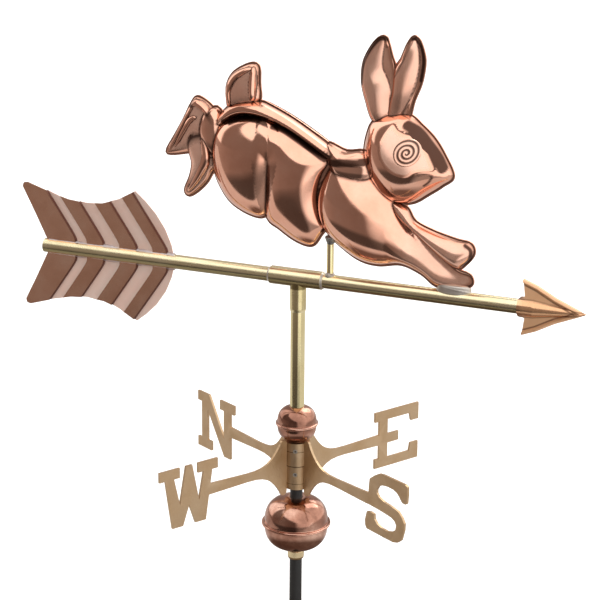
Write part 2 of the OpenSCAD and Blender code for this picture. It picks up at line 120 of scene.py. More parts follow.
class Surface(Nodes):
    """The nodes of a material, on the object's own coordinates."""

    def __init__(self, name):
        self.mat = bpy.data.materials.new(name)
        super().__init__(self.mat)
        self.out = self.new("OutputMaterial")
        self.bsdf = self.new("BsdfPrincipled")
        self.link(self.bsdf.outputs["BSDF"], self.out.inputs["Surface"])
        self.place = self.new("TexCoord").outputs["Object"]

    def noise(self, scale, detail=3.0, rough=0.5, stretch=(1, 1, 1)):
        m = self.new("Mapping")
        self.link(self.place, m.inputs["Vector"])
        m.inputs["Scale"].default_value = stretch
        n = self.new("TexNoise")
        self.link(m.outputs["Vector"], n.inputs["Vector"])
        n.inputs["Scale"].default_value = scale
        n.inputs["Detail"].default_value = detail
        n.inputs["Roughness"].default_value = rough
        return n.outputs["Fac"]

    def bump(self, heights):
        """heights: (height output, strength, distance in metres), the coarsest first."""
        normal = None
        for h, strength, dist in heights:
            b = self.new("Bump")
            b.inputs["Strength"].default_value = strength
            b.inputs["Distance"].default_value = dist
            self.link(h, b.inputs["Height"])
            if normal is not None:
                self.link(normal, b.inputs["Normal"])
            normal = b.outputs["Normal"]
        self.link(normal, self.bsdf.inputs["Normal"])

    def attribute(self, name):
        a = self.new("Attribute")
        a.attribute_name = name
        return a.outputs["Fac"]

    def pointiness(self):
        return self.new("NewGeometry").outputs["Pointiness"]


def metal(name, dark, mid, light, rough, tarnish_and_shade_colour=None, painted_shade_mask=False, scratch=0.25, wave=0.0,
          grain=None, stretch=(1, 1, 1), metallic=1.0, slope=None, painted_underside_shade=None, edge=None, seams=()):
    """A metal with patchy colour, worn or tarnished places, painted shade and a painted sheen, roughness and
    relief.

    slope: two colours of the matt parts, paler as a painted sheen. under: painted shade on a tube's lower
    side:
    its colour, and the height of its axis. edge: the colour of worn edges. seams: (height, half width) of
    dark joints.
    """
    n = Surface(name)
    b = n.bsdf
    b.inputs["Metallic"].default_value = metallic
    patch = n.noise(38, 4, 0.55)
    colour = n.ramp(patch, [(0.3, dark), (0.5, mid), (0.72, light)])
    fine = n.noise(420, 3, 0.6, stretch)
    colour = n.mix(n.span(fine, 0.35, 0.75, 0.0, 0.22), colour, dark)
    rlow, rhigh = rough
    roughness = n.span(n.noise(90, 5, 0.6, stretch), 0.3, 0.7, rlow, rhigh)
    if tarnish_and_shade_colour and not painted_shade_mask:
        p = n.pointiness()
        colour = n.mix(n.span(p, 0.44, 0.497, 0.75, 0.0), colour, tarnish_and_shade_colour)
        colour = n.mix(n.span(p, 0.512, 0.56, 0.0, 0.6), colour, edge or light)
    for height, half in seams:
        part = n.parts(n.place)
        off = n.math("ABSOLUTE", n.math("SUBTRACT", part["Z"], height * MM))
        out = n.math("ADD", n.math("POWER", part["X"], 2.0), n.math("POWER", part["Y"], 2.0))
        on_hub = n.span(out, (HUB_R * MM) ** 2, ((HUB_R + 0.2) * MM) ** 2, 1.0, 0.0)
        near = n.math("MULTIPLY", n.span(off, half * MM * 0.6, half * MM * 1.3, 1.0, 0.0), on_hub)
        colour = n.mix(near, colour, (0.07, 0.04, 0.02))
    # Painted shade: a tube's lower half darkened below its axis
    if painted_underside_shade:
        uneven = n.math("MULTIPLY", n.noise(30, 2), 0.002)
        low = n.math("ADD", n.parts(n.place)["Z"], uneven)
        zero = painted_underside_shade[1] * MM + 0.0006
        on_tube = n.span(low, zero - 0.0095, zero - 0.0085, 0.0, 1.0)
        shaded = n.math("MULTIPLY", n.span(low, zero - 0.0018, zero + 0.0012, 0.85, 0.0), on_tube)
        colour = n.mix(shaded, colour, painted_underside_shade[0])
    # Matt parts from the mesh's mask, in a paler colour that is a painted sheen
    if slope:
        on = n.attribute("satin_and_painted_sheen")
        colour = n.mix(on, colour, n.ramp(patch, [(0.3, slope[0]), (0.7, slope[1])]))
        roughness = n.math("ADD", roughness, n.span(on, 0, 1, 0, 0.30))
        n.put(b.inputs["Metallic"], n.span(on, 0, 1, metallic, metallic * 0.25))
    # Painted shade: the mesh's mask darkens creases, edges and shade lines
    if painted_shade_mask:
        c = n.attribute("painted_shade_mask")
        colour = n.mix(n.span(c, 0.2, 0.85, 0.0, 0.95), colour, tarnish_and_shade_colour)
        roughness = n.math("ADD", roughness, n.span(c, 0.2, 1.0, 0.0, 0.25))
    n.put(b.inputs["Base Color"], colour)
    n.put(b.inputs["Roughness"], roughness)
    heights = []
    if wave:
        heights.append((n.noise(26, 1, 0.4), wave, 0.004))
    if grain:
        heights.append((n.noise(grain[0], 4, 0.6), grain[1], 0.0004))
    heights.append((n.noise(1500, 3, 0.6, stretch), scratch, 0.00004))
    n.bump(heights)
    return n.mat


# On copper_polished, copper_sheet and copper_head the tarnish colour is painted shade; on the first two the
# slope colours are paler, a painted sheen.
copper = metal("copper_polished", (0.84, 0.43, 0.30), (0.93, 0.50, 0.36), (0.96, 0.56, 0.42),
               (0.06, 0.13), tarnish_and_shade_colour=(0.060, 0.026, 0.018), painted_shade_mask=True, wave=0.16, scratch=0.3,
               slope=((0.96, 0.63, 0.50), (1.0, 0.74, 0.61)))
# Spun copper, patchy at random; its very dark patches are painted reflections of the arms, hub and rod
spun_copper_with_painted_reflections = metal("spun_copper_with_painted_reflections", (0.17, 0.075, 0.052), (0.48, 0.24, 0.17), (0.93, 0.59, 0.46),
                    (0.07, 0.16), tarnish_and_shade_colour=(0.20, 0.07, 0.045), scratch=0.35, stretch=(0.6, 0.6, 7))
copper_sheet = metal("copper_sheet", (0.84, 0.48, 0.33), (0.93, 0.56, 0.40), (0.97, 0.64, 0.48),
                     (0.16, 0.26), tarnish_and_shade_colour=(0.14, 0.05, 0.035), painted_shade_mask=True, wave=0.05, scratch=0.35,
                     slope=((1.0, 0.70, 0.59), (1.0, 0.79, 0.70)))
copper_head = metal("copper_head", (0.78, 0.43, 0.24), (0.88, 0.51, 0.29), (0.95, 0.60, 0.38),
                    (0.12, 0.20), tarnish_and_shade_colour=(0.14, 0.055, 0.03), painted_shade_mask=True, wave=0.06, scratch=0.4,
                    slope=((0.74, 0.42, 0.22), (0.86, 0.53, 0.31)))
# The brass tube's lower half carries painted shade
brass = metal("brass_tube", (0.76, 0.63, 0.33), (0.90, 0.77, 0.45), (0.96, 0.87, 0.60),
              (0.18, 0.28), painted_underside_shade=((0.20, 0.145, 0.05), ARROW_Z), tarnish_and_shade_colour=(0.25, 0.17, 0.06),
              scratch=0.4, stretch=(0.5, 9, 9))
brass_upright = metal("brass_tube_upright", (0.72, 0.58, 0.27), (0.86, 0.72, 0.38), (0.93, 0.82, 0.50),
                      (0.09, 0.19), tarnish_and_shade_colour=(0.25, 0.17, 0.06), scratch=0.4, stretch=(9, 9, 0.5))
brass_turned = metal("brass_turned", (0.66, 0.48, 0.26), (0.80, 0.62, 0.36), (0.90, 0.76, 0.50),
                     (0.14, 0.26), tarnish_and_shade_colour=(0.22, 0.12, 0.05), scratch=0.5, stretch=(0.6, 0.6, 9))
brass_cast = metal("brass_cast", (0.80, 0.58, 0.36), (0.92, 0.70, 0.47), (0.98, 0.80, 0.58),
                   (0.30, 0.46), tarnish_and_shade_colour=(0.22, 0.12, 0.05), edge=(0.42, 0.26, 0.13), scratch=0.8,
                   grain=(420, 0.55), seams=((HUB_MID, 0.35), (HUB_MID + 13.7, 0.22), (HUB_MID - 16.2, 0.18)))
solder_grey = metal("solder_dull", (0.42, 0.38, 0.34), (0.58, 0.52, 0.47), (0.72, 0.67, 0.61),
                    (0.32, 0.55), tarnish_and_shade_colour=(0.12, 0.11, 0.11), scratch=0.5, grain=(500, 0.5))
solder_dark = metal("solder_sooty", (0.10, 0.09, 0.085), (0.19, 0.18, 0.17), (0.42, 0.40, 0.38),
                    (0.30, 0.5), tarnish_and_shade_colour=(0.05, 0.04, 0.04), scratch=0.5, grain=(600, 0.5))
solder_seam = metal("solder_seam", (0.34, 0.29, 0.30), (0.50, 0.43, 0.43), (0.66, 0.60, 0.60),
                    (0.25, 0.5), tarnish_and_shade_colour=(0.14, 0.10, 0.10), scratch=0.5, grain=(700, 0.5))
steel_dull = metal("steel_screw", (0.40, 0.37, 0.33), (0.56, 0.52, 0.46), (0.72, 0.67, 0.60),
                   (0.28, 0.42), tarnish_and_shade_colour=(0.08, 0.07, 0.06), scratch=0.5)
steel_bright = metal("steel_ground", (0.55, 0.55, 0.57), (0.70, 0.70, 0.72), (0.8, 0.8, 0.82),
                     (0.08, 0.16), tarnish_and_shade_colour=(0.2, 0.2, 0.2), scratch=0.3)
black = metal("powder_coat_black", (0.010, 0.010, 0.011), (0.016, 0.016, 0.017), (0.028, 0.028, 0.028),
              (0.36, 0.5), tarnish_and_shade_colour=(0.006, 0.006, 0.006), scratch=0.35, grain=(700, 0.3), metallic=0.0)


# ------------------------------------------------------------------ mesh tools

def add_mesh(name, verts, faces, mat, body, replaces=(), sharp=32, attributes=None):
    """A smooth-shaded piece from millimetre points, riding on a body."""
    me = bpy.data.meshes.new(name)
    me.from_pydata((np.asarray(verts, float) * MM).tolist(), [], [list(map(int, f)) for f in faces])
    me.validate()
    for key, values in (attributes or {}).items():
        a = me.attributes.new(key, "FLOAT", "POINT")
        a.data.foreach_set("value", np.asarray(values, np.float32))
    me.update()
    me.shade_smooth()
    if sharp:
        me.set_sharp_from_angle(angle=math.radians(sharp))
    ob = bpy.data.objects.new(name, me)
    scene.collection.objects.link(ob)
    me.materials.append(mat)
    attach(ob, body)
    if replaces:
        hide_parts(*replaces)
    return ob


def spline(points, n=10, closed=True):
    """A smooth curve through the points (Catmull-Rom)."""
    p = np.asarray(points, float)
    m = len(p)
    out = []
    t = np.arange(n)[:, None] / n
    for i in range(m if closed else m - 1):
        if closed:
            a, b, c, d = p[i - 1], p[i], p[(i + 1) % m], p[(i + 2) % m]
        else:
            a, b, c, d = p[max(i - 1, 0)], p[i], p[i + 1], p[min(i + 2, m - 1)]
        out.append(0.5 * (2 * b + (c - a) * t + (2 * a - 5 * b + 4 * c - d) * t ** 2
                          + (3 * b - a - 3 * c + d) * t ** 3))
    if not closed:
        out.append(p[-1:])
    return np.concatenate(out)


def evenly(curve, step, closed=True):
    """The same curve with points the same distance apart."""
    c = np.vstack([curve, curve[:1]]) if closed else curve
    s = np.concatenate([[0], np.cumsum(np.linalg.norm(np.diff(c, axis=0), axis=1))])
    n = max(8, int(round(s[-1] / step)))
    at = np.linspace(0, s[-1], n + 1)[: n if closed else n + 1]
    return np.stack([np.interp(at, s, c[:, k]) for k in range(c.shape[1])], 1)


def soft_distance(points, poly):
    """A smooth distance to the outline: positive inside, like the true distance near it."""
    p = points[:, None, :]
    a = poly[None, :, :] - p
    r = np.maximum(np.linalg.norm(a, axis=2), 1e-6)
    b = np.roll(a, -1, axis=1)
    rb = np.roll(r, -1, axis=1)
    cross = a[..., 0] * b[..., 1] - a[..., 1] * b[..., 0]
    dot = (a * b).sum(2)
    den = r * rb + dot
    den = np.where(np.abs(den) < 1e-9, 1e-9, den)
    s = (cross / den * (1 / r + 1 / rb)).sum(1)
    return 2.0 / np.where(np.abs(s) < 1e-9, 1e-9, s)


def inside(points, poly):
    x, y = points[:, 0:1], points[:, 1:2]
    a, b = poly, np.roll(poly, -1, axis=0)
    hit = ((a[:, 1] > y) != (b[:, 1] > y)) & (
        x < (b[:, 0] - a[:, 0]) * (y - a[:, 1]) / (b[:, 1] - a[:, 1] + 1e-12) + a[:, 0])
    return (hit.sum(1) % 2) == 1


def line_distance(points, line):
    """The distance to a polyline, and how far along it the nearest place is (0 to 1)."""
    a, b = line[:-1], line[1:]
    d = b - a
    seg = np.linalg.norm(d, axis=1)
    start = np.concatenate([[0], np.cumsum(seg)[:-1]])
    t = np.clip(((points[:, None] - a) * d).sum(2) / (seg ** 2 + 1e-12), 0, 1)
    near = a + d * t[..., None]
    dist = np.linalg.norm(points[:, None] - near, axis=2)
    k = dist.argmin(1)
    rows = np.arange(len(points))
    return dist[rows, k], (start[k] + t[rows, k] * seg[k]) / seg.sum()


def facing(flat, tris):
    """The triangles over these flat points, all turned the same way round."""
    out = []
    for f in tris:
        a, b, c = flat[f[0]], flat[f[1]], flat[f[2]]
        turn = (b[0] - a[0]) * (c[1] - a[1]) - (b[1] - a[1]) * (c[0] - a[0])
        out.append(tuple(f) if turn > 0 else tuple(f[::-1]))
    return out


def lathe(name, profile, z0, mat, body, replaces, segments=128, sharp=40):
    """Turns a closed (r, z) outline round the Z axis."""
    ang = np.linspace(0, 2 * math.pi, segments, endpoint=False)
    n, m = len(profile), segments
    r, z = profile[:, :1], profile[:, 1:] + z0
    v = np.stack([r * np.cos(ang), r * np.sin(ang), np.repeat(z, m, 1)], 2).reshape(-1, 3)
    f = []
    for i in range(n):
        i2 = (i + 1) % n
        for k in range(m):
            k2 = (k + 1) % m
            f.append((i * m + k, i * m + k2, i2 * m + k2, i2 * m + k))
    ob = add_mesh(name, v, f, mat, body, replaces, sharp)
    bm = bmesh.new()
    bm.from_mesh(ob.data)
    bmesh.ops.recalc_face_normals(bm, faces=bm.faces)
    bm.to_mesh(ob.data)
    bm.free()


def rounded(points, radius, n=4):
    """An outline with its corners rounded, closed."""
    p = np.asarray(points, float)
    out = []
    for i in range(len(p)):
        a, b, c = p[i - 1], p[i], p[(i + 1) % len(p)]
        u, w = a - b, c - b
        lu, lw = np.linalg.norm(u), np.linalg.norm(w)
        r = min(radius, lu * 0.45, lw * 0.45)
        s, e = b + u / lu * r, b + w / lw * r
        for t in np.linspace(0, 1, n + 1):
            out.append((1 - t) ** 2 * s + 2 * t * (1 - t) * b + t ** 2 * e)
    return np.array(out)


# ------------------------------------------------------------------ the rabbit
# Lobes of the -Y half: outline (x, z above the arrow), depth towards -Y.

def dome(u, power):
    """How far a sheet swells between its edge (u = 0) and its middle (u = 1)."""
    return np.clip(u, 0, 1) ** power


def lip(v):
    """A quick rounded rise to 1 over v = 0 to 1."""
    v = np.clip(v, 0, 1)
    return np.sqrt(1 - (1 - v) ** 2)


def strip(path, widths):
    """The outline of a fold that runs along a path with these half widths."""
    line = spline(path, 6, closed=False)
    w = np.interp(np.linspace(0, 1, len(line)), np.linspace(0, 1, len(widths)), widths)
    w = w * lip(np.minimum(np.arange(len(line)), np.arange(len(line))[::-1]) / 4 + 0.06)
    t = np.gradient(line, axis=0)
    n = np.stack([t[:, 1], -t[:, 0]], 1) / (np.linalg.norm(t, axis=1)[:, None] + 1e-9)
    return np.vstack([line + n * w[:, None], (line - n * w[:, None])[::-1]])


def blend_width(p):
    """How widely haunch and flank flow together: not at all below z = 100, and fully above 120."""
    return 0.2 + 13 * np.clip((p[:, 1] - 100) / 20, 0, 1)


class Lobe:
    """A raised panel of the beaten sheet, as a height away from the middle plane over an outline.

    plain: the outline is used without smoothing. step: the spacing of its edge points.
    spine: points (x, z, depth) along its crest. over: a lobe that it sits on, raised by rise.
    base: the height of its edge. tilt: how its face leans along x and z. rim: how steeply a lobe
    on top of another rises, or 0 for a dome. relief: a function that changes the height.
    shade: (line, half width) of lines of painted shade. satin: how matt it is, and how much paler as a
    painted sheen, 0 to 1.
    grid: the spacing of its inner points, or 0 for rings alone. brim: the width of its flange.
    """

    def __init__(self, name, outline, spine, power=0.8, base=0.9, step=1.5, relief=None, over=None,
                 rise=0.0, tilt=(0, 0), rim=6.0, plain=False, grid=1.7, brim=1.3, shade=(), satin_and_painted_sheen=0.0):
        outline = np.asarray(outline, float)
        self.edge = evenly(outline if plain else spline(outline, 8), step)
        after = np.roll(self.edge, -1, axis=0)
        if ((after[:, 0] - self.edge[:, 0]) * (after[:, 1] + self.edge[:, 1])).sum() > 0:
            self.edge = self.edge[::-1].copy()
        self.name, self.partner = name, None
        self.spine, self.power, self.base = np.asarray(spine, float), power, base
        self.relief, self.over, self.rise = relief, over, rise
        self.tilt, self.rim, self.grid, self.brim = np.asarray(tilt, float), rim, grid, brim
        self.shade, self.satin_and_painted_sheen = shade, satin_and_painted_sheen
        s = self.spine
        along = np.linspace(0, 1, 12)[:, None]
        fine = np.concatenate([a + (b - a) * along for a, b in zip(s, s[1:])])
        self.fine = fine
        q = fine[((self.edge[:, None] - fine[None, :, :2]) ** 2).sum(2).argmin(1), :2]
        w = max(3, len(self.edge) // 18)
        for _ in range(3):
            q = sum(np.roll(q, j, axis=0) for j in range(-w, w + 1)) / (2 * w + 1)
        self.centre = q
        grid = self.edge[:, None] + (q - self.edge)[:, None] * np.linspace(0.2, 1, 9)[None, :, None]
        self.top = soft_distance(grid.reshape(-1, 2), self.edge).max()

    def depth(self, p):
        """The depth of the crest nearest to each point, smoothed along the spine."""
        d2 = ((p[:, None] - self.fine[None, :, :2]) ** 2).sum(2)
        w = np.exp(-(d2 - d2.min(1, keepdims=True)) / 300.0)
        return (w * self.fine[:, 2]).sum(1) / w.sum(1)

    def merged(self, p, h):
        """Flows into the partner lobe where the sheet isn't creased between them (high up)."""
        o = np.full(len(p), OUTSIDE)
        k = inside(p, self.partner.edge)
        if k.any():
            o[k] = self.partner.height(p[k], True)
        soft = 0.2 + (blend_width(p) - 0.2) * np.clip((np.minimum(h, o) - 1.5) / 5, 0, 1)
        both = np.maximum(h, o) + soft / 4 * np.clip(1 - np.abs(h - o) / soft, 0, None) ** 2
        return both - 1.2 * np.clip((o - h) / 2.5, 0, 1)

    def height(self, p, alone=False):
        """How far the sheet stands out at each point."""
        u = np.clip(soft_distance(p, self.edge) / self.top, 0, 1)
        if self.over is not None:
            shape = lip(u * self.rim) if self.rim else dome(u, self.power)
            h = self.over.height(p) + self.rise * shape - 0.3
            if self.tilt.any():
                h = h + shape * ((p - self.edge.mean(0)) @ self.tilt)
        else:
            swell = dome(u, self.power)
            h = self.base + (self.depth(p) - self.base + (p - self.edge.mean(0)) @ self.tilt) * swell
            if self.partner is not None and not alone:
                h = self.merged(p, h)
        if self.relief is not None:
            h = self.relief(p, h, u, self)
        return h

    def at(self, p):
        """The height where p is inside, and very low outside."""
        h = np.full(len(p), OUTSIDE)
        k = inside(p, self.edge)
        if k.any():
            h[k] = self.height(p[k])
        return h

    def mesh(self):
        """Rings near the edge, and an even grid of points inside them."""
        e, q = self.edge, self.centre
        reach, count = (0.34, 13) if self.grid else (1.0, 12)
        t = reach * (np.arange(count + 1) / count) ** 1.7
        nxt, prv = np.roll(e, -1, axis=0), np.roll(e, 1, axis=0)
        tan = nxt - prv
        nrm = np.stack([tan[:, 1], -tan[:, 0]], 1) / (np.linalg.norm(tan, axis=1)[:, None] + 1e-9)
        rows = []
        if self.over is None and self.brim:
            wide = self.brim * (1 + 0.45 * np.clip(-nrm[:, 1:], 0, 1))
            for off, y in ((1, 0.0), (1, 0.5), (0.88, 0.85), (0.6, 1.0), (0.2, 0.9)):
                rows.append(np.column_stack([e + nrm * off * wide, np.full(len(e), y)]))
        elif self.over is None:
            rows.append(np.column_stack([e, np.zeros(len(e))]))
        for k, tk in enumerate(t):
            p = e + (q - e) * tk
            h = self.height(p) if k else (np.full(len(e), self.base) if self.over is None
                                          else self.over.height(p) - 0.3)
            rows.append(np.column_stack([p, h]))
        n, m = len(e), len(rows)
        i = np.arange(n)
        j = (i + 1) % n
        faces = []
        for r in range(m - 1):
            quads = np.column_stack([r * n + i, r * n + j, (r + 1) * n + j, (r + 1) * n + i])
            faces += [tuple(f) for f in quads]
        ring = rows[-1][:, :2]
        if not self.grid:
            rows.append(rows[-1].mean(0)[None])
            faces += [((m - 1) * n + a, (m - 1) * n + b, m * n) for a, b in zip(i, j)]
            return np.vstack(rows), faces
        g = self.grid
        lo, hi = ring.min(0), ring.max(0)
        xs, zs = np.meshgrid(np.arange(lo[0], hi[0], g), np.arange(lo[1], hi[1], g * 0.866))
        xs = xs + (np.arange(len(xs)) % 2)[:, None] * g / 2
        pts = np.column_stack([xs.ravel(), zs.ravel()])
        pts = pts[inside(pts, ring)]
        pts = pts[line_distance(pts, np.vstack([ring, ring[:1]]))[0] > g * 0.6]
        both = np.vstack([ring, pts])
        out = geometry.delaunay_2d_cdt([Vector(c) for c in both], [], [list(range(n))], 1, 1e-5)
        flat = np.array([tuple(c) for c in out[0]])
        old = np.array([o[0] if o else -1 for o in out[3]])
        start = (m - 1) * n
        fresh = [k for k in range(len(flat)) if not 0 <= old[k] < n]
        place = {k: m * n + c for c, k in enumerate(fresh)}
        place.update({k: start + int(old[k]) for k in range(len(flat)) if 0 <= old[k] < n})
        rows.append(np.column_stack([flat[fresh], self.height(flat[fresh])]))
        faces += [tuple(place[k] for k in f) for f in facing(flat, out[2])]
        return np.vstack(rows), faces


def leaning(slope, start):
    """Past x = start the limb's face turns upwards, about its own centre line."""
    def cut(p, h, u, lobe):
        z = np.interp(p[:, 0], lobe.spine[:, 0], lobe.spine[:, 1])
        return h - slope * np.clip((p[:, 0] - start) / 16, 0, 1) * (p[:, 1] - z) * np.clip(u * 2.5, 0, 1)
    return cut


def valley(line, width, deep):
    """A fold like a folded leaf: a straight slope down to a line, on both sides of it."""
    path = spline(line, 10, closed=False)

    def cut(p, h, u, lobe):
        s = np.clip(1 - line_distance(p, path)[0] / width, 0, 1)
        return h - deep * s * lip(u * 3)
    return cut


def fold(name, over, path, widths, rise):
    """A raised fold along a path, on another lobe."""
    outline = strip(path, widths)
    mid = spline(path, 6, closed=False)
    spine = [(x, z, 1) for x, z in mid[[len(mid) // 6, len(mid) // 2, -len(mid) // 6 - 1]]]
    return Lobe(name, outline, spine, over=over, rise=rise, rim=0, power=0.55, step=1.2, plain=True, grid=0)


# Each lobe's shade lines are painted shade: below the band, on the neck's lower part, along the nose bridge,
# at the mouth, at the paw's end and on the ears' folds, rims and tips.
torso = Lobe("torso", [(-76, 120), (-66, 144), (-50, 151), (-35, 152), (-25, 149), (-7, 141), (11, 131),
    (32, 118), (50, 100), (50, 70), (20, 50), (-20, 52), (-58, 76)],
    [(-45, 122, 9), (-5, 108, 9), (30, 90, 9)])
band = Lobe("band", [(-76, 128), (-72, 137), (-66, 144), (-58, 149), (-50, 151), (-35, 152), (-25, 149),
    (-7, 141), (11, 131), (32, 118), (37, 112), (34, 107.5), (27, 110), (13, 119), (-8, 131), (-28, 138),
    (-48, 139.5), (-62, 134), (-70, 128)],
    [(-66, 136, 12), (-50, 145, 13.5), (-28, 143.5, 14), (-7, 136, 14), (11, 125, 14), (29, 114, 13)],
    power=0.5,
    shade=[([(-66, 133), (-54, 138.5), (-43, 140.5), (-29, 139.3), (-14, 134), (1, 127.5), (16, 119.4),
             (32, 111.5)], 2.6)])
haunch = Lobe("haunch", [(-81, 110), (-76, 127), (-64, 137), (-48, 141), (-28, 141), (-13, 129), (-12, 107),
    (-17, 84), (-25, 61), (-33, 51), (-48, 53), (-64, 62), (-75, 78), (-80, 94)],
    [(-52, 108, 24), (-44, 92, 23)],
    shade=[([(-60, 133), (-48, 137.5), (-30, 136.5), (-16, 132)], 2.2)])
flank = Lobe("flank", [(-35, 139.5), (-8, 133), (13, 121), (31, 109), (26, 92), (23, 72), (25, 50), (21, 41),
    (13, 31), (-1, 33), (-17, 42), (-30, 53), (-34, 90)],
    [(-12, 108, 21), (1, 85, 20), (5, 58, 17)],
    shade=[([(-20, 133.5), (-8, 129), (13, 117), (26, 108.5)], 2.2)])
neck = Lobe("neck", [(26, 121), (44, 117), (60, 118), (70, 104), (62, 90), (34, 92)],
    [(38, 105, 13.5), (58, 103, 13.5)], power=0.55, shade=[([(33, 107.5), (46, 109), (62, 110.5)], 3.4)])
chest = Lobe("chest", [(32, 106), (56, 106), (76, 96), (90, 78), (104, 62), (122, 42), (143, 26), (155, 22),
    (157, 14), (146, 9), (126, 9), (112, 18), (94, 24), (74, 21), (58, 23), (43, 31), (27, 44), (19, 60),
    (18, 78), (23, 94)],
    [(44, 84, 22), (60, 62, 20), (96, 40, 13), (144, 16, 7)], tilt=(-0.17, -0.15),
    relief=leaning(0.32, 84), satin_and_painted_sheen=lambda p: 0.3 * np.clip((p[:, 0] - 88) / 25, 0, 1))
foreleg = Lobe("foreleg", [(84, 78), (98, 74), (106, 63), (123, 56), (143, 51), (155, 49), (158, 41),
    (151, 31), (143, 27), (124, 39), (106, 53), (90, 66)],
    [(96, 66, 11), (124, 47, 11), (147, 40, 9)], power=0.55, tilt=(-0.10, -0.25), satin_and_painted_sheen=0.25,
    shade=[([(151, 48), (156, 44), (155, 36), (149, 30)], 1.4)])
head = Lobe("head", [(59, 118), (61, 132), (66, 144), (78, 151), (98, 153), (110, 145), (121, 135),
    (130, 122), (138, 105), (129, 96), (118, 88), (104, 79), (88, 77), (76, 83), (68, 92), (61, 104)],
    [(86, 114, 24), (102, 113, 23.5)],
    shade=[([(100, 146), (109, 140.5), (118, 131.5), (126, 121), (131, 112)], 3.6),
           ([(104, 141), (113, 135), (121, 125), (125, 116)], 2.6),
           ([(113, 107.5), (119, 108), (124, 106.5), (121, 101), (117, 97.5)], 1.0)])
cheek = Lobe("cheek", [(88, 147), (94, 143), (101, 140), (109, 138), (115, 134), (121, 123), (126, 113),
    (124, 110.5), (118, 110.5), (112, 109.5), (107, 106), (101, 106), (93, 109), (86, 115), (81, 123),
    (80, 131), (83, 140)],
    [(94, 124, 1), (108, 120, 1)], over=head, rise=3.6, tilt=(-0.18, -0.20), rim=9.0, grid=1.4, satin_and_painted_sheen=0.45)
ear_back = Lobe("ear_back", [(66, 146), (60, 161), (56, 177), (57, 193), (63, 206), (70, 214.5), (76, 216),
    (79, 210), (82, 200), (85, 191), (87, 170), (86, 148), (78, 140)],
    [(74, 148, 8), (72, 178, 9), (73, 204, 6)], power=0.4, grid=1.3,
    relief=valley([(77, 213), (75, 205), (75, 191), (80, 179), (82.5, 167), (83, 150), (82, 138)], 13, 5.6),
    satin_and_painted_sheen=0.22,
    shade=[([(76, 214), (74.5, 205), (74.5, 191), (80, 179), (82, 168), (83, 152)], 0.5),
           ([(77, 214), (71, 214), (66, 209), (60.5, 200), (57.5, 190), (56.5, 176)], 1.9)])
ear_front = Lobe("ear_front", [(80, 146), (83, 170), (85, 190), (90, 199), (95, 211), (100, 218), (105, 216),
    (109, 207), (110.5, 197), (108, 181), (102, 165), (98, 150), (90, 142)],
    [(90, 148, 8), (97, 178, 9), (102, 206, 6)], power=0.4, grid=1.3,
    relief=valley([(103, 215), (105, 207), (106, 194), (104, 181), (100, 168), (93, 154), (90, 144)],
                  13, 5.2),
    satin_and_painted_sheen=0.22,
    shade=[([(103, 214), (105.5, 205), (106, 193), (103.5, 180), (99, 167), (92, 153)], 0.9),
           ([(100, 215), (95, 202), (90, 191), (86, 184)], 0.5),
           ([(99, 216), (104, 215.5), (108, 207), (109.5, 197), (107.5, 182)], 1.6)])
tail = Lobe("tail", [(-64, 143), (-67, 153), (-66.5, 164), (-61, 174), (-51, 181), (-42, 184), (-37, 181),
    (-36.5, 168), (-36.5, 152), (-50, 144)],
    [(-54, 150, 9), (-50, 170, 8)], power=0.5, satin_and_painted_sheen=0.3, tilt=(-0.12, 0.05))
foot_upper = Lobe("foot_upper", [(-74, 108), (-88, 106), (-104, 101), (-121, 98), (-124, 101), (-116, 115),
    (-108, 129), (-101, 143), (-95, 150.5), (-85, 147), (-76, 139), (-70, 132)],
    [(-76, 124, 8), (-96, 128, 6.5), (-113, 107, 4)], power=0.5, satin_and_painted_sheen=0.4)
foot_lower = Lobe("foot_lower", [(-72, 96), (-80, 86), (-86, 76), (-95, 67), (-103, 62.5), (-107, 67),
    (-102, 80), (-100, 92), (-103, 104), (-103, 114), (-92, 122), (-74, 118)],
    [(-80, 106, 9), (-91, 92, 8), (-100, 72, 4.5)], power=0.5, satin_and_painted_sheen=0.5)
shank = Lobe("shank", [(-72, 140), (-84, 141), (-90, 133), (-92, 120), (-88, 110), (-80, 100), (-68, 104)],
    [(-76, 126, 11), (-78, 112, 11)], power=0.5)
haunch.partner, flank.partner = flank, haunch
LOBES = [torso, band, haunch, flank, neck, chest, foreleg, head, cheek, ear_back, ear_front, tail,
    foot_upper, foot_lower, shank,
    fold("tail_left", tail, [(-62, 146), (-63, 160), (-58, 171), (-50, 177), (-41, 181)],
         [2.0, 3.2, 3.0, 1.6], 3.0),
    fold("tail_right", tail, [(-40, 182), (-40.5, 168), (-41, 152)], [2.2, 3.4, 3.0], 3.0),
    fold("foot_edge", foot_upper, [(-95, 148), (-104, 133), (-113, 116), (-121, 101)],
         [1.6, 2.6, 2.4, 1.4], 2.4),
    fold("foot_arch", foot_upper, [(-100, 141), (-95, 146), (-88, 144), (-81, 137), (-76, 128)],
         [1.6, 3.2, 3.4, 2.4], 3.4),
    fold("foot_fold", foot_upper, [(-115, 105), (-107, 119), (-100, 130), (-93, 134)],
         [1.4, 2.4, 2.8, 1.6], 2.6),
    fold("knuckle", foot_lower, [(-102, 113), (-98, 121), (-91, 125), (-83, 125), (-76, 122)],
         [2.2, 3.4, 4.0, 3.4], 3.0),
    fold("sole", foot_lower, [(-87, 117), (-84, 106), (-84, 96), (-89, 86), (-96, 75), (-103, 66)],
         [2.6, 3.8, 4.0, 3.4, 1.4], 3.4)]


